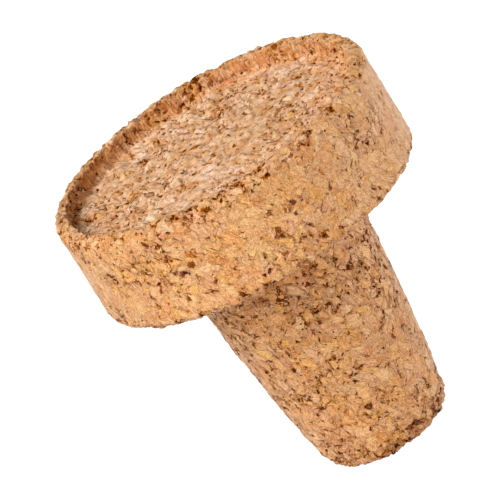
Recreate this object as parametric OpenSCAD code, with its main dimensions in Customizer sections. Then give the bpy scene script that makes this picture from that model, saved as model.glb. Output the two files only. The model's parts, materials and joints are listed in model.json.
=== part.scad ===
// Cork stopper with a broad head. The head is a thick disc, dished on top inside a
// narrow raised rim, and the plug below it tapers towards its tip with a slight bow.
// It is pressed from cork granules and turned in one piece, so it is one closed
// section spun about +Z. It stands on its tip: the origin is the middle of the flat.

/* [Head] */
// Diameter of the head
head_d = 50; // [40:0.5:70]
// Height of the head, from its underside to the top of the rim
head_h = 15.6; // [10:0.2:30]
// Rounding of the rim's outer edge
rim_round = 1.4; // [0.4:0.1:3]
// Rounding of the head's lower edge
under_round = 1.1; // [0.4:0.1:4]

/* [Dish] */
// Width of the raised rim that runs round the dish
rim_w = 2.25; // [1.5:0.05:8]
// Depth of the dish below the top of the rim
dish_depth = 2.7; // [1.2:0.1:7]
// Rounding of the rim's inner edge
lip_round = 0.4; // [0.1:0.05:1]
// Fillet at the foot of the dish's wall
dish_fillet = 0.6; // [0.2:0.05:1.1]

/* [Plug] */
// Length of the plug, from the tip to the head's underside
plug_l = 37.8; // [24:0.2:60]
// Diameter of the plug where it meets the head
plug_top_d = 28.3; // [24:0.1:36]
// Diameter of the plug at its tip, taken to the sharp corner
plug_tip_d = 20; // [12:0.1:28]
// How far the side of the plug bows out from a straight taper
plug_bow = 0.47; // [0.1:0.01:1.5]
// Rounding of the tip's edge
tip_round = 3.1; // [0.5:0.1:5]
// Fillet between the plug and the head's underside
neck_fillet = 0.8; // [0.2:0.1:3]

/* [Hidden] */

$fn = 96;
turn_facets = 180;
bow_facets = 1440; // the bow is a short piece of a very large circle

head_r = head_d / 2;
top_z = plug_l + head_h;
dish_r = head_r - rim_w;
dish_z = top_z - dish_depth;
plug_top_r = plug_top_d / 2;
plug_tip_r = plug_tip_d / 2;

// The rim's two roundings share its width, and the tip's keeps a flat to stand on
rim_edge = min(rim_round, rim_w - lip_round);
tip_edge = min(tip_round, plug_tip_r / 2);

// The side of the plug is an arc from the tip's corner to the head's underside. Its
// centre lies on the far side of the axis, square to the middle of the arc's chord.
chord = [plug_top_r - plug_tip_r, plug_l];
chord_out = [chord.y, -chord.x] / norm(chord);
bow_r = norm(chord) ^ 2 / (8 * plug_bow) + plug_bow / 2;
bow_at = [plug_tip_r, 0] + chord / 2 + chord_out * (plug_bow - bow_r);

// Centre, at height z, of a circle that touches the bow: inside it where r is below 0
function beside_bow(z, r) = [bow_at.x + sqrt((bow_r + r) ^ 2 - (z - bow_at.y) ^ 2), z];

// The point of the bow that is nearest to p
function on_bow(p) = bow_at + (p - bow_at) * bow_r / norm(p - bow_at);

tip_at = beside_bow(tip_edge, -tip_edge);
tip_touch = on_bow(tip_at);
neck_at = beside_bow(plug_l - neck_fillet, neck_fillet);
neck_touch = on_bow(neck_at);

// The section with every edge cut straight across, from the tip round to the dish
outline = [
    [0, 0], [tip_at.x, 0], tip_touch,
    neck_touch, [neck_at.x, plug_l],
    [head_r - under_round, plug_l], [head_r, plug_l + under_round],
    [head_r, top_z - rim_edge], [head_r - rim_edge, top_z],
    [dish_r + lip_round, top_z], [dish_r, top_z - lip_round],
    [dish_r, dish_z + dish_fillet], [dish_r - dish_fillet, dish_z], [0, dish_z]
];

// A quarter disc with its square corner at p, turned by a: it rounds a cut edge
module quarter_round(p, r, a) {
    translate(p) rotate(a) intersection() {
        circle(r = r);
        square(r);
    }
}

// The bowed side of the plug, between the tip's rounding and the neck's fillet
module bow_section() {
    intersection() {
        translate(bow_at) circle(r = bow_r, $fn = bow_facets);
        translate([tip_at.x, tip_touch.y]) square([head_r, neck_touch.y - tip_touch.y]);
    }
}

// The section: the cut outline, filled out to its roundings and hollowed to its fillets
module stopper_section() {
    difference() {
        union() {
            polygon(outline);
            bow_section();
            translate(tip_at) circle(r = tip_edge);
            quarter_round([head_r - under_round, plug_l + under_round], under_round, -90);
            quarter_round([head_r - rim_edge, top_z - rim_edge], rim_edge, 0);
            quarter_round([dish_r + lip_round, top_z - lip_round], lip_round, 90);
        }
        translate(neck_at) circle(r = neck_fillet);
        translate([dish_r - dish_fillet, dish_z + dish_fillet]) circle(r = dish_fillet);
    }
}

module stopper() {
    color("burlywood") rotate_extrude($fn = turn_facets) stopper_section();
}

stopper();
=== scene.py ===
"""Looks of the cork stopper: one turned piece of pressed cork granules.

The stopper is a closed surface of revolution worked out with numpy. Its skin is then
roughened by the same cells that colour it, so each granule, open joint and pit is a
form in the mesh and a colour in the finish at one and the same place.
"""

import json
import logging
import math
from dataclasses import dataclass, field
from enum import Enum

import bpy
import numpy as np
from mathutils import Euler, Matrix, Vector

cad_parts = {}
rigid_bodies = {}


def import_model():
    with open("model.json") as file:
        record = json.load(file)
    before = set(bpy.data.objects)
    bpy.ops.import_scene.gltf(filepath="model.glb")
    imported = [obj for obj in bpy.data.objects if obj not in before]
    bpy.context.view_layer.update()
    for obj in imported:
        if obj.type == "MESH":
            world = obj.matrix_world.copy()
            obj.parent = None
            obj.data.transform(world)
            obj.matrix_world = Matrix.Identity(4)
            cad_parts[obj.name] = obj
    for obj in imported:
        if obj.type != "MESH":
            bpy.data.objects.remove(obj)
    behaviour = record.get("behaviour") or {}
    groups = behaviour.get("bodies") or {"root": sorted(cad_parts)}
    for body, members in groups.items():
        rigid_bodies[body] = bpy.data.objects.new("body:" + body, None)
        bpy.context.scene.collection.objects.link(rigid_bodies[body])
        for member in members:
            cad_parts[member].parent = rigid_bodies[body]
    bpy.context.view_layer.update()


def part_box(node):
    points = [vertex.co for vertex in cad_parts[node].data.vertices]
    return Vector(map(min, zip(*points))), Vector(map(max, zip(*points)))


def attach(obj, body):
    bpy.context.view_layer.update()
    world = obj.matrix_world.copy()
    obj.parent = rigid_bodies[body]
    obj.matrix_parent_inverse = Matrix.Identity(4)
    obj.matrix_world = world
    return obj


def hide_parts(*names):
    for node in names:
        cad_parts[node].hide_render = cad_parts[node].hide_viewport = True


LOG = logging.getLogger("cork_stopper")
MM = 0.001

Socket = bpy.types.NodeSocket


class Zone(Enum):
    """The stretches of the stopper's section, which are finished in different ways."""

    TIP = 0
    PLUG = 1
    UNDERSIDE = 2
    SIDE = 3
    RIM = 4
    WALL = 5
    FLOOR = 6


def linear(hex_colour: str) -> tuple[float, float, float, float]:
    """Turns an sRGB colour into the linear one that a shader takes.

    Each channel c, from 0 to 1, becomes c / 12.92 below 0.04045, and otherwise
    ((c + 0.055) / 1.055) to the power 2.4.

    Args:
        hex_colour: the colour, such as "#CC986B".

    Returns:
        Red, green, blue and an alpha of 1.
    """
    code = hex_colour.lstrip("#")
    channels = [int(code[i : i + 2], 16) / 255 for i in (0, 2, 4)]
    red, green, blue = (
        c / 12.92 if c <= 0.04045 else ((c + 0.055) / 1.055) ** 2.4 for c in channels
    )
    return red, green, blue, 1.0


def add_node(
    tree: bpy.types.NodeTree,
    kind: str,
    inputs: dict[str | int, object] | None = None,
    **settings: object,
) -> bpy.types.Node:
    """Adds a node with its settings, its socket values and its links.

    Args:
        tree: the node tree that gets the node.
        kind: the node's type, such as "ShaderNodeMath".
        inputs: for each input socket, by name or number, a value or a socket to link.
        settings: the node's own properties.

    Returns:
        The new node.
    """
    node = tree.nodes.new(kind)
    for name, value in settings.items():
        setattr(node, name, value)
    for name, value in (inputs or {}).items():
        if isinstance(value, Socket):
            tree.links.new(value, node.inputs[name])
        else:
            node.inputs[name].default_value = value
    return node


def smoothstep(low: float, high: float, value: np.ndarray) -> np.ndarray:
    """Goes smoothly from 0 at low to 1 at high: 3 t squared less 2 t cubed."""
    t = np.clip((value - low) / (high - low), 0.0, 1.0)
    return t * t * (3.0 - 2.0 * t)


# --------------------------------------------------------------------------- cells


def _turn_bits(word: np.ndarray, by: int) -> np.ndarray:
    """Turns the 32 bits of each word left by a number of places."""
    return (word << np.uint32(by)) | (word >> np.uint32(32 - by))


def _stir(a: np.ndarray, b: np.ndarray, c: np.ndarray) -> tuple[np.ndarray, ...]:
    """The first round of the lookup hash.

    In turn each word loses another, is crossed with that one turned, and the other
    gains the third.

    Args:
        a: the first words.
        b: the second words.
        c: the third words.

    Returns:
        The three, stirred.
    """
    for turn in (4, 6, 8, 16, 19, 4):
        a = (a - c) ^ _turn_bits(c, turn)
        c = c + b
        a, b, c = b, c, a
    return a, b, c


def _settle(a: np.ndarray, b: np.ndarray, c: np.ndarray) -> np.ndarray:
    """The last round of the lookup hash: crossings and subtractions in turn.

    Args:
        a: the first words.
        b: the second words.
        c: the third words.

    Returns:
        The words that the random numbers are made of.
    """
    for turn in (14, 11, 25, 16, 4, 14, 24):
        c = (c ^ b) - _turn_bits(b, turn)
        a, b, c = b, c, a
    return b


def cell_random(cell: np.ndarray) -> np.ndarray:
    """Three random numbers from 0 to 1 for each whole cell of space.

    It is the hash that the Voronoi Texture node uses on the corner of a cell, so the
    mesh and the finish share their cells: the three words of the corner, and for the
    second and third number a fourth word of 1.0 and of 2.0, are stirred together.

    Args:
        cell: corners of cells, whole numbers held as floats, of shape (n, 3).

    Returns:
        Random numbers of shape (n, 3).
    """
    words = np.ascontiguousarray(cell + np.float32(0), np.float32).view(np.uint32)
    made = []
    with np.errstate(over="ignore"):
        start = np.uint32((0xDEADBEEF + (3 << 2) + 13) & 0xFFFFFFFF)
        made.append(_settle(*(words[:, i] + start for i in range(3))))
        start = np.uint32((0xDEADBEEF + (4 << 2) + 13) & 0xFFFFFFFF)
        a, b, c = _stir(*(words[:, i] + start for i in range(3)))
        for fourth in (1.0, 2.0):
            made.append(_settle(a + np.float32(fourth).view(np.uint32), b, c))
    return np.stack(made, 1).astype(np.float32) / np.float32(0xFFFFFFFF)


@dataclass(frozen=True)
class GrainLayer:
    """Cells that one lot of granules is cut along, all lying the same way.

    A cell is the space nearest to one random point of a grid that is turned and
    stretched to the granule's size.
    """

    name: str
    size_mm: tuple[float, float, float]
    turn_deg: tuple[float, float, float]
    shift_mm: tuple[float, float, float]
    share: float

    @property
    def euler(self) -> Euler:
        """The layer's turn, in radians."""
        return Euler([math.radians(a) for a in self.turn_deg])

    def rows(self, width_mm: float, length_mm: float) -> tuple[float, ...]:
        """The sizes of the rows of cork cells: drawn out along the granule's long side."""
        return tuple(length_mm if size == max(self.size_mm) else width_mm for size in self.size_mm)

    def grid(self, place: np.ndarray) -> np.ndarray:
        """Puts points in the layer's own grid: shifted, turned back, divided by the size.

        Args:
            place: points in millimetres, of shape (n, 3).

        Returns:
            The points, with each cell one unit wide.
        """
        turn = np.array(self.euler.to_matrix(), np.float32)
        shifted = place.astype(np.float32) - np.array(self.shift_mm, np.float32)
        return (shifted @ turn) / np.array(self.size_mm, np.float32)

    def cells(self, place: np.ndarray) -> tuple[np.ndarray, np.ndarray]:
        """Finds each point's cell and how deep inside it the point lies.

        The nearest of the 27 random points around is the point's own. The depth is the
        least distance to the planes half way between that one and each other.

        Args:
            place: points in millimetres, of shape (n, 3).

        Returns:
            Three random numbers of the cell for each point, and the depth in
            millimetres, taken by the layer's smallest size.
        """
        grid = self.grid(place)
        corner = np.floor(grid)
        inside = grid - corner
        steps = np.stack(np.meshgrid(*[[-1, 0, 1]] * 3, indexing="ij"), -1)
        steps = steps.reshape(-1, 3).astype(np.float32)
        nearest = np.full(len(grid), np.inf, np.float32)
        own = np.zeros_like(grid)
        random = np.zeros_like(grid)
        around = []
        for step in steps:
            cell = cell_random(corner + step)
            to_point = step + cell - inside
            distance = (to_point**2).sum(1)
            closer = distance < nearest
            nearest = np.where(closer, distance, nearest)
            own[closer] = to_point[closer]
            random[closer] = cell[closer]
            around.append(to_point)
        depth = np.full(len(grid), np.inf, np.float32)
        for to_point in around:
            across = to_point - own
            length = np.sqrt((across**2).sum(1))
            other = length > 0.01
            middle = ((own + to_point) / 2 * across).sum(1) / np.maximum(length, 0.01)
            depth = np.where(other, np.minimum(depth, middle), depth)
        return random, depth * min(self.size_mm)


def soft_noise(place: np.ndarray, size_mm: float, seed: float = 0.0) -> np.ndarray:
    """Smooth noise from 0 to 1 with one swell to each cell of the given size.

    The random numbers at the eight corners of a point's cell are mixed, with weights
    that go as 3 t squared less 2 t cubed along each side.

    Args:
        place: points in millimetres, of shape (n, 3).
        size_mm: the cell's side.
        seed: shifts the noise, so that two of one size differ.

    Returns:
        One number for each point.
    """
    grid = (place / size_mm + seed).astype(np.float32)
    corner = np.floor(grid)
    t = grid - corner
    t = t * t * (3 - 2 * t)
    total = np.zeros(len(grid), np.float32)
    for step in np.ndindex(2, 2, 2):
        weight = np.prod(np.where(step, t, 1 - t), axis=1)
        total += weight * cell_random(corner + np.array(step, np.float32))[:, 0]
    return total


# ---------------------------------------------------------------------------- form


@dataclass(frozen=True)
class Stretch:
    """One line or arc of the section: its points, outward normals and zone.

    It is rounded where it rounds an outer edge, which wears.
    """

    points: np.ndarray
    normals: np.ndarray
    zone: Zone
    rounded: bool = False


def line(start: np.ndarray, end: np.ndarray, step: float, zone: Zone) -> Stretch:
    """A straight stretch: start plus t times the way to end, the normal on its right.

    Args:
        start: radius and height of the first point, in millimetres.
        end: radius and height of the last one.
        step: the longest gap between points.
        zone: the zone that it belongs to.

    Returns:
        The stretch.
    """
    start, end = np.asarray(start, float), np.asarray(end, float)
    length = np.hypot(*(end - start))
    t = np.linspace(0, 1, max(2, math.ceil(length / step) + 1))[:, None]
    along = (end - start) / length
    normal = np.array([along[1], -along[0]])
    return Stretch(start + t * (end - start), np.repeat(normal[None], len(t), 0), zone)


def arc(
    centre: np.ndarray,
    start: np.ndarray,
    end: np.ndarray,
    step: float,
    zone: Zone,
    hollow: bool = False,
    rounded: bool = False,
) -> Stretch:
    """A round stretch: the centre plus the radius times cosine and sine of an angle.

    The angle grows evenly from the start's to the end's, the short way round. The
    normal points away from the centre, or towards it on a hollow fillet.

    Args:
        centre: radius and height of the centre, in millimetres.
        start: the first point.
        end: the last point.
        step: the longest gap between points.
        zone: the zone that it belongs to.
        hollow: whether the centre lies outside the cork.
        rounded: whether it rounds an outer edge, which wears.

    Returns:
        The stretch.
    """
    centre = np.asarray(centre, float)
    first, last = np.asarray(start, float) - centre, np.asarray(end, float) - centre
    begin = math.atan2(first[1], first[0])
    sweep = math.atan2(
        first[0] * last[1] - first[1] * last[0], first[0] * last[0] + first[1] * last[1]
    )
    radius = math.hypot(*first)
    count = max(4, math.ceil(abs(sweep) * radius / step) + 1)
    angle = begin + sweep * np.linspace(0, 1, count)
    out = np.stack([np.cos(angle), np.sin(angle)], 1)
    return Stretch(centre + radius * out, -out if hollow else out, zone, rounded)


@dataclass
class StopperForm:
    """The turned form: sizes in millimetres, and the closed skin of rings it makes.

    The head's radius and the whole height come from the frame, and the rest are the
    sizes that the solid was turned to.
    """

    head_radius: float
    height: float
    plug_length: float = 37.8
    plug_top_radius: float = 14.15
    plug_tip_radius: float = 10.0
    plug_bow: float = 0.47
    tip_round: float = 3.1
    neck_fillet: float = 0.8
    under_round: float = 1.1
    rim_width: float = 2.25
    rim_round: float = 1.4
    lip_round: float = 0.4
    dish_depth: float = 2.7
    dish_fillet: float = 0.6
    spacing: float = 0.352
    hidden_spacing: float = 0.5
    torn_spacing: float = 0.27
    edge_spacing: float = 0.2

    def spacing_in(self, zone: Zone) -> float:
        """Says how far apart points lie in a zone: close in the dish, wide underneath.

        Args:
            zone: the zone.

        Returns:
            The distance in millimetres.
        """
        special = {
            Zone.TIP: self.hidden_spacing,
            Zone.UNDERSIDE: self.hidden_spacing,
            Zone.FLOOR: self.torn_spacing,
        }
        return special.get(zone, self.spacing)

    def section(self) -> list[Stretch]:
        """The section from the middle of the tip round to the middle of the dish.

        The plug's side is an arc of radius c squared / 8 b plus b / 2, for a chord c
        and a bow b. The tip's edge and the neck's fillet are arcs that touch it, so
        their centres lie a radius inside and outside it.

        Returns:
            The stretches in order.
        """
        tip = np.array([self.plug_tip_radius, 0.0])
        chord = np.array([self.plug_top_radius, self.plug_length]) - tip
        length = np.hypot(*chord)
        outward = np.array([chord[1], -chord[0]]) / length
        radius = length**2 / (8 * self.plug_bow) + self.plug_bow / 2
        centre = tip + chord / 2 + outward * (self.plug_bow - radius)

        def beside(height: float, gap: float) -> np.ndarray:
            """The point at a height whose distance from the bow is gap."""
            reach = math.sqrt((radius + gap) ** 2 - (height - centre[1]) ** 2)
            return np.array([centre[0] + reach, height])

        def touch(point: np.ndarray) -> np.ndarray:
            """The point of the bow that is nearest to a point."""
            away = point - centre
            return centre + away * radius / np.hypot(*away)

        tip_at = beside(self.tip_round, -self.tip_round)
        neck_at = beside(self.plug_length - self.neck_fillet, self.neck_fillet)
        outer, top, base = self.head_radius, self.height, self.plug_length
        under, rim, lip = self.under_round, self.rim_round, self.lip_round
        dish, floor, fillet = outer - self.rim_width, top - self.dish_depth, self.dish_fillet
        row, edge = self.spacing * math.sqrt(3) / 2, self.edge_spacing
        hidden, torn = (w * math.sqrt(3) / 2 for w in (self.hidden_spacing, self.torn_spacing))
        return [
            line((0, 0), (tip_at[0], 0), hidden, Zone.TIP),
            arc(tip_at, (tip_at[0], 0), touch(tip_at), edge, Zone.PLUG, rounded=True),
            arc(centre, touch(tip_at), touch(neck_at), row, Zone.PLUG),
            arc(neck_at, touch(neck_at), (neck_at[0], base), edge, Zone.PLUG, hollow=True),
            line((neck_at[0], base), (outer - under, base), hidden, Zone.UNDERSIDE),
            arc((outer - under, base + under), (outer - under, base), (outer, base + under),
                edge, Zone.SIDE, rounded=True),
            line((outer, base + under), (outer, top - rim), row, Zone.SIDE),
            arc((outer - rim, top - rim), (outer, top - rim), (outer - rim, top), edge,
                Zone.RIM, rounded=True),
            line((outer - rim, top), (dish + lip, top), edge, Zone.RIM),
            arc((dish + lip, top - lip), (dish + lip, top), (dish, top - lip), edge, Zone.RIM),
            line((dish, top - lip), (dish, floor + fillet), edge, Zone.WALL),
            arc((dish - fillet, floor + fillet), (dish, floor + fillet), (dish - fillet, floor),
                edge, Zone.WALL, hollow=True),
            line((dish - fillet, floor), (0, floor), torn, Zone.FLOOR),
        ]

    def rings(self) -> tuple[np.ndarray, np.ndarray, np.ndarray, np.ndarray]:
        """The section's points, normals and zones, with none given twice.

        Where two stretches meet, the first one's last point is left out, so the two
        poles on the axis stay the first and the last.

        Returns:
            Points and normals of shape (n, 2), the number of each one's zone, and
            whether it is on a rounded edge.
        """
        parts = self.section()
        keep = [slice(None, -1)] * (len(parts) - 1) + [slice(None)]
        points = np.concatenate([p.points[k] for p, k in zip(parts, keep)])
        normals = np.concatenate([p.normals[k] for p, k in zip(parts, keep)])
        lengths = [len(p.points[k]) for p, k in zip(parts, keep)]
        zones = np.repeat([p.zone.value for p in parts], lengths)
        return points, normals, zones, np.repeat([p.rounded for p in parts], lengths)

    def skin(self) -> "Skin":
        """Spins the section into a closed skin of triangles of about one size.

        Ring i has as many points as its girth holds spacings, at even angles, and each
        second ring is turned by half a step. The strip between two rings takes one
        triangle for each step along either ring, in the order of the steps' middles.

        Returns:
            The skin, with its points, normals, zones and triangles.
        """
        points, normals, zones, rounded = self.rings()
        spacing = np.array([self.spacing_in(Zone(number)) for number in zones])
        counts = np.maximum(6, np.round(2 * math.pi * points[:, 0] / spacing)).astype(int)
        counts[[0, -1]] = 1
        first = np.concatenate([[0], np.cumsum(counts)])
        ring = np.repeat(np.arange(len(counts)), counts)
        number = np.arange(first[-1]) - first[ring]
        turn = (number + 0.5 * (ring % 2)) / counts[ring]
        angle = 2 * math.pi * turn
        spin = np.stack([np.cos(angle), np.sin(angle)], 1)
        place = np.concatenate([points[ring, :1] * spin, points[ring, 1:]], 1)
        normal = np.concatenate([normals[ring, :1] * spin, normals[ring, 1:]], 1)
        triangles = [
            self._strip(first[i], counts[i], 0.5 * (i % 2), first[i + 1], counts[i + 1],
                        0.5 * ((i + 1) % 2))
            for i in range(len(counts) - 1)
        ]
        return Skin(place, normal, zones[ring], rounded[ring], np.concatenate(triangles))

    @staticmethod
    def _strip(
        low: int, low_count: int, low_turn: float, high: int, high_count: int, high_turn: float
    ) -> np.ndarray:
        """The triangles between two rings, all facing outwards.

        Args:
            low: number of the lower ring's first point.
            low_count: how many points the lower ring has.
            low_turn: how far it is turned, in steps.
            high: number of the upper ring's first point.
            high_count: how many points the upper ring has.
            high_turn: how far it is turned, in steps.

        Returns:
            Three point numbers for each triangle.
        """
        low_steps = np.arange(low_count if low_count > 1 else 0)
        high_steps = np.arange(high_count if high_count > 1 else 0)
        when = np.concatenate([
            (low_steps + low_turn + 0.5) / low_count,
            (high_steps + high_turn + 0.5) / high_count,
        ])
        order = np.argsort(when, kind="stable")
        on_low = order < len(low_steps)
        at_low = np.cumsum(on_low) - on_low
        at_high = np.cumsum(~on_low) - ~on_low
        here_low, here_high = low + at_low % low_count, high + at_high % high_count
        next_low = low + (at_low + 1) % low_count
        next_high = high + (at_high + 1) % high_count
        third = np.where(on_low, next_low, next_high)
        return np.stack([here_low, third, here_high], 1)


@dataclass
class Skin:
    """The points of the turned surface, where each one lies, and its triangles."""

    place: np.ndarray
    normal: np.ndarray
    zone: np.ndarray
    rounded: np.ndarray
    triangles: np.ndarray
    values: dict[str, np.ndarray] = field(default_factory=dict)

    def in_zone(self, *zones: Zone) -> np.ndarray:
        """1 for each point in one of the zones, and 0 for the others."""
        return np.isin(self.zone, [z.value for z in zones]).astype(np.float32)

    def mesh(self, name: str) -> bpy.types.Mesh:
        """Puts the skin into a smooth mesh in metres, with its values as attributes.

        Args:
            name: the mesh's name.

        Returns:
            The mesh.
        """
        mesh = bpy.data.meshes.new(name)
        mesh.vertices.add(len(self.place))
        mesh.vertices.foreach_set("co", (self.place * MM).astype(np.float32).ravel())
        mesh.loops.add(self.triangles.size)
        mesh.loops.foreach_set("vertex_index", self.triangles.astype(np.int32).ravel())
        mesh.polygons.add(len(self.triangles))
        starts = np.arange(0, self.triangles.size, 3, dtype=np.int32)
        mesh.polygons.foreach_set("loop_start", starts)
        mesh.update(calc_edges=True)
        mesh.polygons.foreach_set("use_smooth", np.ones(len(self.triangles), bool))
        for key, value in self.values.items():
            kind, prop = ("FLOAT_VECTOR", "vector") if value.ndim == 2 else ("FLOAT", "value")
            attribute = mesh.attributes.new(key, kind, "POINT")
            attribute.data.foreach_set(prop, value.astype(np.float32).ravel())
        mesh.validate()
        return mesh


# --------------------------------------------------------------------------- grain


@dataclass(frozen=True)
class Lumps:
    """Lumps of two sizes, as a height that swings about zero."""

    coarse_mm: float
    fine_mm: float
    fine_share: float
    seeds: tuple[float, float]

    def at(self, place: np.ndarray) -> np.ndarray:
        """The height at each point: coarse noise, plus the share of a finer one, less the mean.

        Args:
            place: points in millimetres, of shape (n, 3).

        Returns:
            One number for each point.
        """
        coarse = soft_noise(place, self.coarse_mm, self.seeds[0])
        fine = soft_noise(place, self.fine_mm, self.seeds[1])
        return coarse + self.fine_share * fine - (1 + self.fine_share) / 2


@dataclass(frozen=True)
class Treatment:
    """How much each point was cut or worn in each way, mostly from 0 to 1.

    Milled is the cutter's work in the dish, and wall, plug and tip say how far a point is
    on those. Worn is an edge that hands and bottles rub, loose is where granules hold
    badly, picked is where the cutter pulled crumbs out, and rough is how far torn crumbs
    stand up.
    """

    milled: np.ndarray
    wall: np.ndarray
    plug: np.ndarray
    worn: np.ndarray
    tip: np.ndarray
    loose: np.ndarray
    picked: np.ndarray
    rough: np.ndarray


@dataclass(frozen=True)
class PressedGrain:
    """How the granules lie in the pressed block, for the relief and for the finish.

    The chips of the first layers lie on top: a point belongs to the first layer whose
    cell there is one of the layer's share, and to the crumbs that fill the rest.
    """

    chips: tuple[GrainLayer, ...] = (
        GrainLayer("long_chips", (2.7, 1.1, 1.3), (15, 62, 20), (3, 8, 1), 0.2),
        GrainLayer("flat_chips", (1.3, 1.9, 1.6), (40, -25, 35), (9, 2, 5), 0.3),
        GrainLayer("broad_chips", (1.9, 1.4, 2.2), (-35, 20, 75), (4, 7, 9), 0.36),
    )
    crumbs: GrainLayer = GrainLayer("crumbs", (0.85, 0.75, 0.95), (10, 25, 50), (6, 3, 2), 1.0)
    pits: GrainLayer = GrainLayer("pits", (0.75, 0.55, 0.6), (30, 40, 10), (1, 5, 7), 1.0)
    torn: Lumps = Lumps(1.2, 0.62, 0.8, (3.7, 6.6))
    grit: Lumps = Lumps(0.9, 0.55, 0.6, (1.3, 8.1))
    # How space is bent.
    swirl_mm: float = 0.35
    swirl_length_mm: float = 14.0
    bend_mm: float = 0.14
    bend_length_mm: float = 3.1
    # How high or deep each part of the relief is, and how wide.
    lift_mm: float = 0.16
    joint_mm: float = 0.22
    joint_width_mm: float = 0.16
    gap_length_mm: float = 0.85
    pit_mm: float = 0.36
    grit_mm: float = 0.1
    torn_mm: float = 0.52
    pillow_mm: float = 0.16
    chip_mm: float = 0.4
    wear_mm: float = 0.2
    wear_reach_mm: float = 1.5
    patch_mm: float = 6.0
    tip_tight_mm: float = 8.0
    side_slope_mm: float = 0.25
    pit_slope_mm: float = 0.16
    pillow_slope_mm: float = 0.45
    # How far each place is milled or loose, and the share of crumbs that it has lost.
    milled_rim: float = 0.5
    milled_wall: float = 0.35
    loose_patch: float = 0.6
    loose_plug: float = 0.3
    loose_worn: float = 0.7
    missing_anywhere: float = 0.005
    missing_loose: float = 0.06
    missing_milled: float = 0.12
    missing_picked: float = 0.28
    missing_wall: float = 0.06
    chipped_worn: float = 0.25
    chipped_tip: float = 0.4

    def bent(self, place: np.ndarray) -> np.ndarray:
        """Bends space, so that granules turn as they go and none has straight sides.

        Each coordinate gains a sine of the next one plus a sine of the one after, at
        lengths that don't divide each other: once over the length of a swirl, and once
        over the length of a granule.

        Args:
            place: points in millimetres, of shape (n, 3).

        Returns:
            The bent points.
        """
        for reach, length in (
            (self.swirl_mm, self.swirl_length_mm), (self.bend_mm, self.bend_length_mm)
        ):
            wave = 2 * math.pi / length
            following, last = np.roll(place, -1, 1), np.roll(place, -2, 1)
            place = place + reach * (
                np.sin(wave * (following + 0.2 * last)) + 0.6 * np.sin(1.7 * wave * last + 1.1)
            )
        return place

    def granules(self, place: np.ndarray) -> tuple[np.ndarray, np.ndarray]:
        """Finds the granule that each point is in, the chips over the crumbs.

        Args:
            place: bent points in millimetres, of shape (n, 3).

        Returns:
            Three random numbers of the granule for each point, and the depth of the
            point inside it, in millimetres.
        """
        random, depth = self.crumbs.cells(place)
        for layer in reversed(self.chips):
            layer_random, layer_depth = layer.cells(place)
            chosen = layer_random[:, 0] < layer.share
            random = np.where(chosen[:, None], layer_random, random)
            depth = np.where(chosen, layer_depth, depth)
        return random, depth

    def treatment(self, skin: Skin) -> Treatment:
        """Says how each point was cut and worn, from its zone, its height and slow patches.

        The dish's floor is milled, and its rim and wall are in part. Granules hold badly
        at the tip and on worn edges, less so on the plug, and elsewhere in patches.

        Args:
            skin: the turned skin.

        Returns:
            The treatment of each point.
        """
        floor, rim, wall, plug = (
            skin.in_zone(zone) for zone in (Zone.FLOOR, Zone.RIM, Zone.WALL, Zone.PLUG)
        )
        milled = floor + self.milled_rim * rim + self.milled_wall * wall
        worn = np.maximum(rim, skin.rounded)
        tip = 1 - smoothstep(1.0, self.tip_tight_mm, skin.place[:, 2])
        patch = smoothstep(0.4, 0.8, soft_noise(skin.place, self.patch_mm, 5.2))
        loose = np.maximum(self.loose_patch * patch + self.loose_plug * plug, tip)
        loose = np.maximum(loose, self.loose_worn * worn)
        picked = smoothstep(0.3, 0.7, soft_noise(skin.place, self.patch_mm, 9.3))
        rough = milled - 0.3 * rim + 0.3 * wall + 0.6 * tip
        return Treatment(milled, wall, plug, worn, tip, loose, picked, rough)

    def roughen(self, skin: Skin) -> None:
        """Gives the skin its relief and the values that its finish reads.

        The relief along the normal is a sum. Each granule has a height of its own, which
        fades to nothing at its sides, and some have broken away at worn edges. A groove
        falls as a bell curve towards each joint that stands open, and a pit is left by
        each crumb that is missing. Grit covers all, and torn lumps and rounded granules
        stand up in the dish and at the tip. The plug is worn back.

        Args:
            skin: the turned skin, which is changed.
        """
        place = self.bent(skin.place)
        random, depth = self.granules(place)
        cut = self.treatment(skin)
        gap = soft_noise(skin.place, self.gap_length_mm, 2.4) + 0.2 * (cut.loose - 0.45)
        crumble = (
            self.missing_anywhere
            + self.missing_loose * cut.loose
            + (self.missing_milled + self.missing_picked * cut.picked) * cut.milled
            + self.missing_wall * cut.wall
        )
        pit_random, pit_depth = self.pits.cells(place)
        pit = (pit_random[:, 0] < crumble) * smoothstep(0.0, self.pit_slope_mm, pit_depth)
        inside = smoothstep(0.0, self.side_slope_mm, depth)
        broken = self.chipped_worn * cut.worn + self.chipped_tip * cut.tip
        chipped = (random[:, 1] < broken) * inside
        lift = (random[:, 2] - 0.5) * inside
        joint = smoothstep(0.6, 0.9, gap) * np.exp(-((depth / self.joint_width_mm) ** 2))
        torn = self.torn_mm * self.torn.at(skin.place) * (0.75 + 0.4 * cut.picked)
        pillow = self.pillow_mm * (smoothstep(0.0, self.pillow_slope_mm, depth) - 0.6)
        raised = cut.rough * (torn + pillow)
        height = skin.place[:, 2]
        relief = (
            self.lift_mm * (0.7 + 1.2 * cut.loose + cut.rough + cut.worn) * lift
            - self.joint_mm * joint
            - self.pit_mm * (1 + 0.6 * cut.milled) * pit
            - self.chip_mm * chipped
            - self.wear_mm * cut.plug * (cut.tip + smoothstep(0.0, self.wear_reach_mm, height))
            + self.grit_mm * (1 + cut.rough + 2 * cut.worn) * self.grit.at(skin.place)
            + raised
        )
        skin.place = skin.place + relief[:, None] * skin.normal
        skin.place[:, 2] = np.maximum(skin.place[:, 2], height.min())
        skin.values.update(
            grain_place=self.bent(skin.place), gap=gap, crumble=crumble, milled=cut.milled,
            wall=cut.wall, raised=raised, loose=cut.loose,
        )
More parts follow.
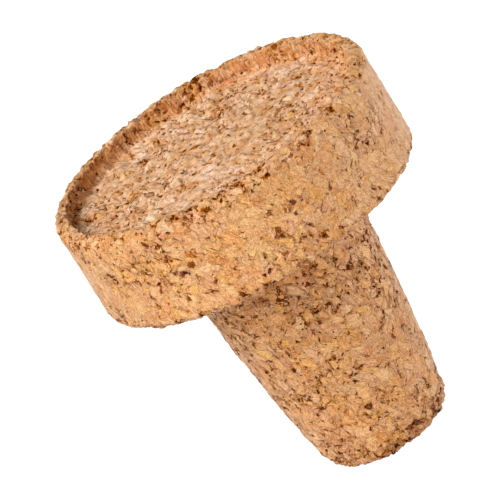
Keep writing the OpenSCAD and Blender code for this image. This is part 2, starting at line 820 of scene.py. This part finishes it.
        LOG.info("relief from %.2f to %.2f mm", relief.min(), relief.max())


# -------------------------------------------------------------------------- finish


@dataclass(frozen=True)
class PressedCork:
    """Agglomerated cork, pressed from ground granules, turned and left bare.

    Turned cork is matt with a faint sheen, and where the cutter has torn it, it has
    none. Cork is cells in rows, so each granule is cut with fine streaks in its own
    direction, over a tan of its own. Where granules don't meet, a dark reddish brown
    gap shows, and bits of bark stay in it as dark specks.

    The shades run from the bottom of a gap to a clean cut cell. All that makes cork
    lighter or darker moves it along them.
    """

    name: str = "agglomerated_cork_turned"
    shades: tuple[tuple[float, str], ...] = (
        (0.00, "#5A2402"),
        (0.15, "#8A3F09"),
        (0.30, "#AE5B18"),
        (0.45, "#C37630"),
        (0.60, "#D5914E"),
        (0.75, "#E2A262"),
        (0.88, "#F1B270"),
        (1.00, "#FFC280"),
    )
    # How far each thing moves the tone along the shades, the hue and the saturation.
    middle: float = 0.78
    granule_tone: float = 0.22
    granule_colour: float = 0.15
    tone_hue: float = 0.01
    granule_hue: float = 0.007
    streak_tone: float = 0.8
    cell_tone: float = 1.0
    slow_tone: float = 0.25
    # Painted shade at the sides of every granule, as if each joint were recessed.
    painted_edge_shade_tone: float = 0.19
    gap_tone: float = 0.6
    pit_tone: float = 0.74
    bark_tone: float = 0.66
    bark_hue: float = 0.008
    score_tone: float = 1.2
    patch_tone: float = 0.75
    patch_colour: float = 0.3
    # What the cutter's work in the dish changes.
    milled_tone: float = 0.115
    milled_colour: float = 0.086
    # How the dish's light tones lose saturation and its dark ones gain it; the gain is painted
    # bounced light.
    milled_pallor_and_bounce: float = 0.3
    milled_hush: float = 0.65
    milled_cover: float = 0.3
    milled_felt: float = 0.6
    milled_roughness: float = 0.5
    # Lighter on raised torn lumps and darker in their hollows: partly torn fuzz, partly painted
    # light and painted shade.
    raised_fuzz_and_shade_tone: float = 0.08
    # Painted shade: the dish's inner wall under the rim is darker.
    wall_painted_shade: float = 0.05
    # The sheen, and the share of each thing in the bump.
    roughness: float = 0.38
    sheen: float = 0.5
    bark_veil: float = 0.7
    bump_mm: float = 0.15
    bump_level: float = 1.6
    bump_loose: float = 3.0
    bump_cell: float = 0.9
    bump_streak: float = 0.7
    bump_score: float = 3.0
    # The sizes of the patterns, or how many of them lie along a millimetre.
    ragged_mm: float = 0.2
    streak_mm: float = 0.24
    streak_length_mm: float = 1.1
    cell_mm: float = 0.17
    speck_mm: float = 0.55
    tears_per_mm: float = 1.7
    patches_per_mm: float = 0.35
    swells_per_mm: float = 0.28
    clusters_per_mm: float = 0.16
    score_mm: tuple[float, float, float] = (0.4, 0.4, 2.2)
    row_turn: float = 1.1

    def material(self, grain: PressedGrain) -> bpy.types.Material:
        """Makes the cork on the granules that the relief was made from.

        Args:
            grain: how the granules lie.

        Returns:
            The material.
        """
        material = bpy.data.materials.new(self.name)
        material.use_nodes = True
        material.node_tree.nodes.clear()
        CorkNodes(material.node_tree, self, grain).build()
        return material


@dataclass(frozen=True)
class GranuleHere:
    """The granule at a point, as sockets: six random numbers, and where in it it is.

    The mesh has the first three numbers as well. Crumb is 1 in a crumb, 0 in a chip.
    """

    own: tuple[Socket, ...]
    more: tuple[Socket, ...]
    depth: Socket
    row: Socket
    crumb: Socket


@dataclass(frozen=True)
class Marks:
    """All that marks the cork at a point, and the painted shade at its granules' sides, as
    sockets.
    """

    streak: Socket
    fine: Socket
    joint: Socket
    seam: Socket
    pit: Socket
    bark: Socket
    score: Socket
    patch: Socket


class CorkNodes:
    """The nodes of pressed cork: its granule, the marks on it, its colour and its bump."""

    def __init__(
        self, tree: bpy.types.NodeTree, finish: PressedCork, grain: PressedGrain
    ) -> None:
        """Reads what the skin carries, and tears the sides of the granules.

        A granule's cell is read at the point plus a fine noise, so that its sides are
        ragged.

        Args:
            tree: the empty tree that gets the nodes.
            finish: the cork's colours and sizes.
            grain: how the granules lie.
        """
        self.tree = tree
        self.finish = finish
        self.grain = grain
        carried = self.node("ShaderNodeAttribute", attribute_name="grain_place")
        self.place = carried.outputs["Vector"]
        self.gap, self.crumble, self.milled, self.wall, self.raised, self.loose = (
            self.node("ShaderNodeAttribute", attribute_name=name).outputs["Fac"]
            for name in ("gap", "crumble", "milled", "wall", "raised", "loose")
        )
        tear = self.node("ShaderNodeTexNoise", {
            "Vector": self.place, "Scale": finish.tears_per_mm, "Detail": 3.0, "Roughness": 0.65,
        })
        torn = self.node("ShaderNodeVectorMath", {0: tear.outputs["Color"], 1: (0.5, 0.5, 0.5)},
                         operation="SUBTRACT")
        self.ragged = self.node("ShaderNodeVectorMath", {
            0: torn.outputs[0], 1: (4 * finish.ragged_mm,) * 3, 2: self.place,
        }, operation="MULTIPLY_ADD").outputs[0]

    def node(
        self, kind: str, inputs: dict[str | int, object] | None = None, **settings: object
    ) -> bpy.types.Node:
        """Adds one node to this material."""
        return add_node(self.tree, kind, inputs, **settings)

    def total(self, start: Socket | float, *parts: tuple[Socket, Socket | float, float]) -> Socket:
        """Adds to the start each part's share times its swing from its centre.

        Args:
            start: what the sum starts from.
            parts: for each part its source, its share and its centre. The centre is 0
                where the share is a socket.

        Returns:
            The sum.
        """
        offset = sum(share * centre for _, share, centre in parts if centre)
        total = self.node("ShaderNodeMath", {0: start, 1: offset}, operation="SUBTRACT").outputs[0]
        for source, share, _ in parts:
            total = self.node("ShaderNodeMath", {0: source, 1: share, 2: total},
                              operation="MULTIPLY_ADD").outputs[0]
        return total

    def cells(self, layer: GrainLayer) -> tuple[Socket, Socket]:
        """Finds the cell of a layer at a point, as the layer's own cells() does.

        Args:
            layer: the layer.

        Returns:
            The cell's random numbers as a colour, and the depth in millimetres.
        """
        grid = self.node("ShaderNodeMapping", {
            "Vector": self.ragged, "Location": layer.shift_mm, "Rotation": layer.euler,
            "Scale": layer.size_mm,
        }, vector_type="TEXTURE").outputs[0]
        point = self.node("ShaderNodeTexVoronoi", {"Vector": grid, "Scale": 1.0},
                          label=layer.name)
        inner = self.node("ShaderNodeTexVoronoi", {"Vector": grid, "Scale": 1.0},
                          label=layer.name, feature="DISTANCE_TO_EDGE")
        depth = self.node("ShaderNodeMath", {
            0: inner.outputs["Distance"], 1: min(layer.size_mm),
        }, operation="MULTIPLY")
        return point.outputs["Color"], depth.outputs[0]

    def rows(self, layer: GrainLayer, random: Socket, turn: float) -> Socket:
        """Finds the place along a granule's rows of cells.

        The rows lie along the layer's long side, turned for each granule by a part of
        the turn that its own random numbers give.

        Args:
            layer: the layer that the granule is of.
            random: the granule's random numbers.
            turn: the whole range of the turn, in radians.

        Returns:
            The place, with each row one unit wide and long.
        """
        own = self.node("ShaderNodeVectorMath", {0: random, 1: (turn,) * 3, 2: (-turn / 2,) * 3},
                        operation="MULTIPLY_ADD")
        turned = self.node("ShaderNodeVectorRotate", {
            "Vector": self.place, "Rotation": own.outputs[0],
        }, rotation_type="EULER_XYZ")
        return self.node("ShaderNodeMapping", {
            "Vector": turned.outputs[0], "Rotation": layer.euler,
            "Scale": layer.rows(self.finish.streak_mm, self.finish.streak_length_mm),
        }, vector_type="TEXTURE").outputs[0]

    def granule(self) -> GranuleHere:
        """Finds the granule at a point, as the grain's granules() does: chips over crumbs.

        Rows of cells run about along each chip, and any way in a crumb.

        Returns:
            The granule.
        """
        crumbs = self.grain.crumbs
        random, depth = self.cells(crumbs)
        row = self.rows(crumbs, random, 2 * math.pi)
        crumb = 1.0
        for layer in reversed(self.grain.chips):
            chip_random, chip_depth = self.cells(layer)
            chip_row = self.rows(layer, chip_random, self.finish.row_turn)
            first = self.node("ShaderNodeSeparateColor", {0: chip_random}).outputs[0]
            chosen = self.node("ShaderNodeMath", {0: first, 1: layer.share},
                               operation="LESS_THAN").outputs[0]
            random = self.node("ShaderNodeMix", {0: chosen, 4: random, 5: chip_random},
                               data_type="VECTOR").outputs[1]
            row = self.node("ShaderNodeMix", {0: chosen, 4: row, 5: chip_row},
                            data_type="VECTOR").outputs[1]
            depth = self.node("ShaderNodeMix", {0: chosen, 2: depth, 3: chip_depth},
                              data_type="FLOAT").outputs[0]
            crumb = self.node("ShaderNodeMath", {0: chosen, 1: crumb},
                              operation="LESS_THAN").outputs[0]
        own = self.node("ShaderNodeSeparateXYZ", {0: random})
        more = self.node("ShaderNodeTexWhiteNoise", {"Vector": random}, noise_dimensions="3D")
        more = self.node("ShaderNodeSeparateColor", {0: more.outputs["Color"]})
        return GranuleHere(tuple(own.outputs), tuple(more.outputs), depth, row, crumb)

    def cut_cells(self, granule: GranuleHere) -> tuple[Socket, Socket]:
        """The cells that the cutter laid open: streaks along the rows, and single cells.

        Real cells are 0.04 mm, too fine to show, so they are drawn five times as coarse.

        Args:
            granule: the granule at the point.

        Returns:
            The streaks and the single cells, each from 0 to 1.
        """
        streak = self.node("ShaderNodeTexNoise", {
            "Vector": granule.row, "Scale": 1.0, "Detail": 1.0,
        })
        fine = self.node("ShaderNodeTexNoise", {
            "Vector": self.place, "Scale": 1 / self.finish.cell_mm, "Detail": 1.0,
        })
        return streak.outputs[0], fine.outputs[0]

    def gaps(self, granule: GranuleHere) -> tuple[Socket, Socket, Socket]:
        """The open joints between granules, a painted shade at the sides of every granule, and the
        pits.

        A joint stands open in short lengths, some wide, and many as specks: where the
        granule's depth is less than the gap's width there. The painted edge shade darkens
        the last bit of depth of any granule, as shade in a recessed joint would. A pit is a
        crumb that is missing, as in the relief.

        Args:
            granule: the granule at the point.

        Returns:
            The joint, the painted edge shade and the pit, each from 0 to 1.
        """
        width = self.grain.joint_width_mm
        wide = self.node("ShaderNodeMapRange", {0: self.gap, 1: 0.62, 2: 0.95, 3: 0.0, 4: width})
        speck = self.node("ShaderNodeTexNoise", {
            "Vector": self.place, "Scale": 1 / self.finish.speck_mm, "Detail": 1.0,
        })
        opened = self.total(speck.outputs[0], (self.loose, 0.12, 0.0))
        narrow = self.node("ShaderNodeMapRange", {0: opened, 1: 0.62, 2: 0.87, 3: 0.0, 4: width})
        widest = self.node("ShaderNodeMath", {0: wide.outputs[0], 1: narrow.outputs[0]},
                           operation="MAXIMUM")
        beyond = self.node("ShaderNodeMath", {0: widest.outputs[0], 1: granule.depth},
                           operation="SUBTRACT")
        joint = self.node("ShaderNodeMapRange", {0: beyond.outputs[0], 1: -0.03, 2: 0.09},
                          interpolation_type="SMOOTHSTEP")
        covered = self.total(1.0, (self.milled, -self.finish.milled_cover, 0.0))
        joint = self.node("ShaderNodeMath", {0: joint.outputs[0], 1: covered},
                          operation="MULTIPLY")
        # Painted shade: each granule darkens towards its sides, as a recessed joint is shaded.
        side = self.node("ShaderNodeMapRange", {0: granule.depth, 2: 0.24, 3: 1.0, 4: 0.0},
                         interpolation_type="SMOOTHSTEP")
        seam = self.node("ShaderNodeMath", {0: side.outputs[0], 1: opened}, operation="MULTIPLY")
        pit_random, pit_depth = self.cells(self.grain.pits)
        first = self.node("ShaderNodeSeparateColor", {0: pit_random}).outputs[0]
        missing = self.node("ShaderNodeMath", {0: first, 1: self.crumble}, operation="LESS_THAN")
        inner = self.node("ShaderNodeMapRange", {0: pit_depth, 1: 0.02, 2: 0.15},
                          interpolation_type="SMOOTHSTEP")
        pit = self.node("ShaderNodeMath", {0: missing.outputs[0], 1: inner.outputs[0]},
                        operation="MULTIPLY")
        return joint.outputs[0], seam.outputs[0], pit.outputs[0]

    def bark(self, granule: GranuleHere) -> Socket:
        """Bits of bark: crumbs whose number is below a chance that a slow noise sets.

        Args:
            granule: the granule at the point.

        Returns:
            How much of it is bark, least at its sides.
        """
        cluster = self.node("ShaderNodeTexNoise", {
            "Vector": self.place, "Scale": self.finish.clusters_per_mm, "Detail": 1.0,
        })
        chance = self.node("ShaderNodeMapRange", {
            0: cluster.outputs[0], 1: 0.48, 2: 0.7, 3: 0.02, 4: 0.4,
        })
        bark = self.node("ShaderNodeMath", {0: granule.more[2], 1: chance.outputs[0]},
                         operation="LESS_THAN").outputs[0]
        inside = self.node("ShaderNodeMapRange", {0: granule.depth, 2: 0.12, 3: 0.3, 4: 1.0})
        age = self.node("ShaderNodeMapRange", {0: granule.more[0], 3: 0.65, 4: 1.1})
        for part in (inside.outputs[0], granule.crumb, age.outputs[0]):
            bark = self.node("ShaderNodeMath", {0: bark, 1: part},
                             operation="MULTIPLY").outputs[0]
        return bark

    def cutter_marks(self) -> tuple[Socket, Socket]:
        """What the cutter did to the dish: scores down its wall, and patches on its floor.

        Each is a noise less a half, times how far the point is on the wall or milled.

        Returns:
            The scores and the patches, each about zero.
        """
        here = self.node("ShaderNodeTexCoord").outputs["Object"]
        scored = self.node("ShaderNodeMapping", {
            "Vector": here, "Scale": [size * MM for size in self.finish.score_mm],
        }, vector_type="TEXTURE")
        score = self.node("ShaderNodeTexNoise", {
            "Vector": scored.outputs[0], "Scale": 1.0, "Detail": 2.0,
        })
        patch = self.node("ShaderNodeTexNoise", {
            "Vector": self.place, "Scale": self.finish.patches_per_mm, "Detail": 2.0,
        })
        marks = []
        for noise, where in ((score, self.wall), (patch, self.milled)):
            swing = self.node("ShaderNodeMath", {0: noise.outputs[0], 1: 0.5},
                              operation="SUBTRACT")
            marks.append(self.node("ShaderNodeMath", {0: swing.outputs[0], 1: where},
                                   operation="MULTIPLY").outputs[0])
        return tuple(marks)

    def tone(self, granule: GranuleHere, marks: Marks) -> Socket:
        """How light the cork is: its middle tone and all that moves it.

        Most granules are about one tan, so a number spread evenly from -1 to 1 sets each
        one's by its cube.
        Where the cutter's torn crumbs stand up, the tops are lighter and the hollows darker:
        partly the torn tops' fuzz, partly painted light and painted shade that show their forms.
        There is less of the granules' own pattern there.

        Args:
            granule: the granule at the point.
            marks: the marks there.

        Returns:
            The place along the shades.
        """
        finish = self.finish
        even = self.node("ShaderNodeMath", {0: granule.own[1], 1: 2.0, 2: -1.0},
                         operation="MULTIPLY_ADD")
        own = self.node("ShaderNodeMath", {0: even.outputs[0], 1: 3.0}, operation="POWER")
        grained = self.total(
            0.0,
            (own.outputs[0], finish.granule_tone / 2, 0.0),
            (marks.streak, finish.streak_tone, 0.5),
            (marks.fine, finish.cell_tone, 0.5),
        )
        clear = self.total(1.0, (self.milled, -finish.milled_hush, 0.0))
        slow = self.node("ShaderNodeTexNoise", {
            "Vector": self.place, "Scale": finish.swells_per_mm, "Detail": 2.0,
        })
        return self.total(
            finish.middle,
            (grained, clear, 0.0),
            (slow.outputs[0], finish.slow_tone, 0.5),
            # painted shade at the sides of each granule
            (marks.seam, -finish.painted_edge_shade_tone, 0.0),
            (marks.joint, -finish.gap_tone, 0.0),
            (marks.pit, -finish.pit_tone, 0.0),
            (marks.bark, -finish.bark_tone, 0.0),
            (marks.score, finish.score_tone, 0.0),
            (marks.patch, finish.patch_tone, 0.0),
            (self.milled, finish.milled_tone, 0.0),
            # painted light on raised lumps and painted shade in their hollows, with some torn fuzz
            (self.raised, finish.raised_fuzz_and_shade_tone, 0.0),
            # painted shade on the dish's inner wall
            (self.wall, -finish.wall_painted_shade, 0.0),
        )

    def colour(self, granule: GranuleHere, marks: Marks) -> Socket:
        """The cork's colour: the shade of its tone, then each granule's own difference.

        Each granule is redder or yellower and deeper or paler by its own numbers, and
        bark is a little yellower. Where the cutter tore the cork, its light parts are
        paler, as torn cells are, and its dark ones richer, a painted light as if
        bounced about inside its hollows.

        Args:
            granule: the granule at the point.
            marks: the marks there.

        Returns:
            The colour.
        """
        finish = self.finish
        tone = self.tone(granule, marks)
        shade = self.node("ShaderNodeValToRGB", {0: tone})
        ramp = shade.color_ramp
        while len(ramp.elements) > 1:
            ramp.elements.remove(ramp.elements[-1])
        ramp.elements[0].position = finish.shades[0][0]
        ramp.elements[0].color = linear(finish.shades[0][1])
        for position, colour in finish.shades[1:]:
            ramp.elements.new(position).color = linear(colour)
        hue = self.total(
            0.5,
            (granule.more[0], finish.granule_hue, 0.5),
            (granule.own[1], finish.tone_hue, 0.5),
            (marks.bark, finish.bark_hue, 0.0),
        )
        # Painted bounced light: the dish's dark tones grow richer, while its light ones grow less
        # saturated, as torn cells are.
        paler = self.total(finish.milled_colour, (tone, -finish.milled_pallor_and_bounce, 0.0))
        rich = self.total(
            1.0,
            (granule.more[1], finish.granule_colour, 0.5),
            (self.milled, paler, 0.0),
            (marks.patch, -finish.patch_colour, 0.0),
        )
        return self.node("ShaderNodeHueSaturation", {
            "Hue": hue, "Saturation": rich, "Color": shade.outputs[0],
        }).outputs[0]

    def bump(self, granule: GranuleHere, marks: Marks, dark: Socket) -> Socket:
        """What is too fine for the mesh: cells, streaks, scores and the gaps' edges.

        Each granule stands a little high or low by its own number, more where it sits
        loose, with a bevel to nothing at its sides. The cutter's torn floor is felted.

        Args:
            granule: the granule at the point.
            marks: the marks there.
            dark: the open joints and pits.

        Returns:
            The normal.
        """
        finish = self.finish
        bevel = self.node("ShaderNodeMapRange", {0: granule.depth, 2: 0.3, 4: finish.bump_level},
                          interpolation_type="SMOOTHSTEP")
        steep = self.total(1.0, (self.loose, finish.bump_loose, 0.0))
        level = self.node("ShaderNodeMath", {0: granule.own[2], 1: 0.5}, operation="SUBTRACT")
        level = self.node("ShaderNodeMath", {0: level.outputs[0], 1: steep}, operation="MULTIPLY")
        height = self.total(
            0.0,
            (level.outputs[0], bevel.outputs[0], 0.0),
            (dark, -1.0, 0.0),
            (marks.fine, finish.bump_cell, 0.0),
            (marks.streak, finish.bump_streak, 0.0),
            (marks.score, finish.bump_score, 0.0),
        )
        felted = self.total(1.0, (self.milled, -finish.milled_felt, 0.0))
        return self.node("ShaderNodeBump", {
            "Strength": felted, "Distance": finish.bump_mm * MM, "Height": height,
        }).outputs[0]

    def build(self) -> None:
        """Joins colour, sheen and bump in one shader.

        The sheen is gone in gaps, on bark and where the cutter tore the cork, which is
        the more matt for it.
        """
        granule = self.granule()
        marks = Marks(
            *self.cut_cells(granule), *self.gaps(granule), self.bark(granule),
            *self.cutter_marks(),
        )
        dark = self.node("ShaderNodeMath", {0: marks.joint, 1: marks.pit},
                         operation="MAXIMUM").outputs[0]
        finish = self.finish
        veiled = self.total(dark, (self.milled, 1.0, 0.0), (marks.bark, finish.bark_veil, 0.0))
        sheen = self.node("ShaderNodeMapRange", {0: veiled, 3: finish.sheen, 4: 0.0})
        shader = self.node("ShaderNodeBsdfPrincipled", {
            "Base Color": self.colour(granule, marks),
            "Roughness": self.total(
                finish.roughness, (self.milled, finish.milled_roughness, 0.0)
            ),
            "Specular IOR Level": sheen.outputs[0],
            "Normal": self.bump(granule, marks, dark),
        })
        self.node("ShaderNodeOutputMaterial", {"Surface": shader.outputs[0]})


# --------------------------------------------------------------------------- studio


@dataclass(frozen=True)
class ViewPoint:
    """The camera: a long lens that looks down a little, turned on its side.

    Its axis passes beside and below the middle of the head's top by the two aims.
    """

    elevation_deg: float = 20.43
    roll_deg: float = 32.01
    distance_mm: float = 833.3
    view_width_mm: float = 70.33
    aim_right_mm: float = 6.28
    aim_down_mm: float = 16.25
    sensor_mm: float = 36.0

    def place(self, top_mm: float) -> bpy.types.Object:
        """Makes the scene's camera.

        Args:
            top_mm: height of the head's top.

        Returns:
            The camera.
        """
        up_angle, roll = math.radians(self.elevation_deg), math.radians(self.roll_deg)
        back = Vector((0, -math.cos(up_angle), math.sin(up_angle)))
        level_up = Vector((0, math.sin(up_angle), math.cos(up_angle)))
        side = Vector((1, 0, 0))
        right = side * math.cos(roll) - level_up * math.sin(roll)
        up = side * math.sin(roll) + level_up * math.cos(roll)
        target = Vector((0, 0, top_mm)) + right * self.aim_right_mm - up * self.aim_down_mm
        data = bpy.data.cameras.new("camera")
        data.sensor_width = self.sensor_mm
        data.lens = self.sensor_mm * self.distance_mm / self.view_width_mm
        data.clip_start, data.clip_end = 0.05, 20.0
        camera = bpy.data.objects.new("camera", data)
        turn = Matrix((right, up, back)).transposed().to_4x4()
        where = target + back * self.distance_mm
        camera.matrix_world = Matrix.Translation(where * MM) @ turn
        bpy.context.scene.collection.objects.link(camera)
        bpy.context.scene.camera = camera
        return camera


@dataclass(frozen=True)
class SoftLamp:
    """One soft light: a flat panel that faces the stopper."""

    name: str
    azimuth_deg: float
    elevation_deg: float
    distance: float
    width: float
    height: float
    power: float
    colour: str

    def place(self, target: Vector) -> bpy.types.Object:
        """Stands the panel at its angle from the target: azimuth 0 is in front, on -Y.

        Args:
            target: the point that it faces.

        Returns:
            The lamp.
        """
        a, e = math.radians(self.azimuth_deg), math.radians(self.elevation_deg)
        away = Vector((math.sin(a) * math.cos(e), -math.cos(a) * math.cos(e), math.sin(e)))
        data = bpy.data.lights.new(self.name, "AREA")
        data.shape, data.size, data.size_y = "RECTANGLE", self.width, self.height
        data.energy = self.power
        data.color = linear(self.colour)[:3]
        lamp = bpy.data.objects.new(self.name, data)
        lamp.location = target + away * self.distance
        lamp.rotation_mode = "QUATERNION"
        lamp.rotation_quaternion = away.to_track_quat("Z", "Y")
        bpy.context.scene.collection.objects.link(lamp)
        return lamp


@dataclass(frozen=True)
class Studio:
    """A white table and surroundings, a soft box, and two low cards that fill the shade."""

    lamps: tuple[SoftLamp, ...] = (
        SoftLamp("soft_box", -48, 47, 0.8, 0.6, 0.6, 7.1, "#F9FBFF"),
        SoftLamp("low_card", 90, 0, 0.8, 1.0, 0.05, 3.8, "#FAFBFF"),
        SoftLamp("front_card", -15, 3, 0.8, 0.5, 0.08, 0.55, "#FFFCF8"),
    )
    world_strength: float = 0.15
    floor_half: float = 3.0
    floor_tone: float = 0.92
    floor_shadow: float = 0.15

    def build(self, target: Vector) -> None:
        """Makes the world, the floor and the lamps.

        Args:
            target: the point that the lamps face.
        """
        self._world()
        self._floor()
        for lamp in self.lamps:
            lamp.place(target)

    def _world(self) -> None:
        """White surroundings: full white where seen or mirrored, and dimmer as light."""
        world = bpy.data.worlds.new("surroundings")
        world.use_nodes = True
        tree = world.node_tree
        tree.nodes.clear()
        path = add_node(tree, "ShaderNodeLightPath")
        seen = add_node(tree, "ShaderNodeMath", {
            0: path.outputs["Is Camera Ray"], 1: path.outputs["Is Glossy Ray"],
        }, operation="MAXIMUM")
        seen = add_node(tree, "ShaderNodeMath", {
            0: seen.outputs[0], 1: path.outputs["Is Transmission Ray"],
        }, operation="MAXIMUM")
        strength = add_node(tree, "ShaderNodeMapRange", {
            0: seen.outputs[0], 3: self.world_strength, 4: 1.0,
        })
        glow = add_node(tree, "ShaderNodeBackground", {
            "Color": (1, 1, 1, 1), "Strength": strength.outputs[0],
        })
        add_node(tree, "ShaderNodeOutputWorld", {"Surface": glow.outputs[0]})
        bpy.context.scene.world = world

    def _floor(self) -> None:
        """A flat white table under the stopper, seen as white but for the shadow.

        It is board painted matt white: it scatters light evenly, and mirrors nothing.
        """
        half = self.floor_half
        mesh = bpy.data.meshes.new("floor")
        corners = [(-half, -half, 0), (half, -half, 0), (half, half, 0), (-half, half, 0)]
        mesh.from_pydata(corners, [], [(0, 1, 2, 3)])
        floor = bpy.data.objects.new("floor", mesh)
        bpy.context.scene.collection.objects.link(floor)
        material = bpy.data.materials.new("white_table_painted")
        material.use_nodes = True
        tree = material.node_tree
        tree.nodes.clear()
        tone = (self.floor_tone, self.floor_tone, self.floor_tone, 1)
        path = add_node(tree, "ShaderNodeLightPath")
        matt = add_node(tree, "ShaderNodeBsdfDiffuse", {"Color": tone})
        glow = add_node(tree, "ShaderNodeEmission", {"Color": (1, 1, 1, 1), "Strength": 1.2})
        seen = add_node(tree, "ShaderNodeMath", {
            0: path.outputs["Is Camera Ray"], 1: path.outputs["Is Glossy Ray"],
        }, operation="MAXIMUM")
        share = add_node(tree, "ShaderNodeMath", {
            0: seen.outputs[0], 1: 1 - self.floor_shadow,
        }, operation="MULTIPLY")
        both = add_node(tree, "ShaderNodeMixShader", {
            0: share.outputs[0], 1: matt.outputs[0], 2: glow.outputs[0],
        })
        add_node(tree, "ShaderNodeOutputMaterial", {"Surface": both.outputs[0]})
        mesh.materials.append(material)


@dataclass
class CorkStopper:
    """The stopper: its turned form, its granules and its finish."""

    form: StopperForm
    grain: PressedGrain = field(default_factory=PressedGrain)
    finish: PressedCork = field(default_factory=PressedCork)

    def build(self) -> bpy.types.Object:
        """Makes the roughened skin and puts it in the solid's place.

        Returns:
            The piece.
        """
        skin = self.form.skin()
        self.grain.roughen(skin)
        mesh = skin.mesh("cork_body")
        piece = bpy.data.objects.new("cork_body", mesh)
        bpy.context.scene.collection.objects.link(piece)
        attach(piece, "root")
        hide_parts("stopper")
        LOG.info("cork_body: %d points, %d triangles", len(skin.place), len(skin.triangles))
        return piece

    def dress(self, piece: bpy.types.Object) -> None:
        """Gives the skin its cork."""
        piece.data.materials.append(self.finish.material(self.grain))


def main() -> None:
    """Loads the frame, builds and dresses the stopper, and sets up the studio."""
    logging.basicConfig(level=logging.INFO, format="%(name)s: %(message)s")
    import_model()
    low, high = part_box("stopper")
    form = StopperForm(head_radius=high.x / MM, height=high.z / MM)
    stopper = CorkStopper(form)
    stopper.dress(stopper.build())
    bpy.context.scene.view_settings.view_transform = "Standard"
    ViewPoint().place(form.height)
    Studio().build((low + high) / 2)


if __name__ == "__main__":
    main()
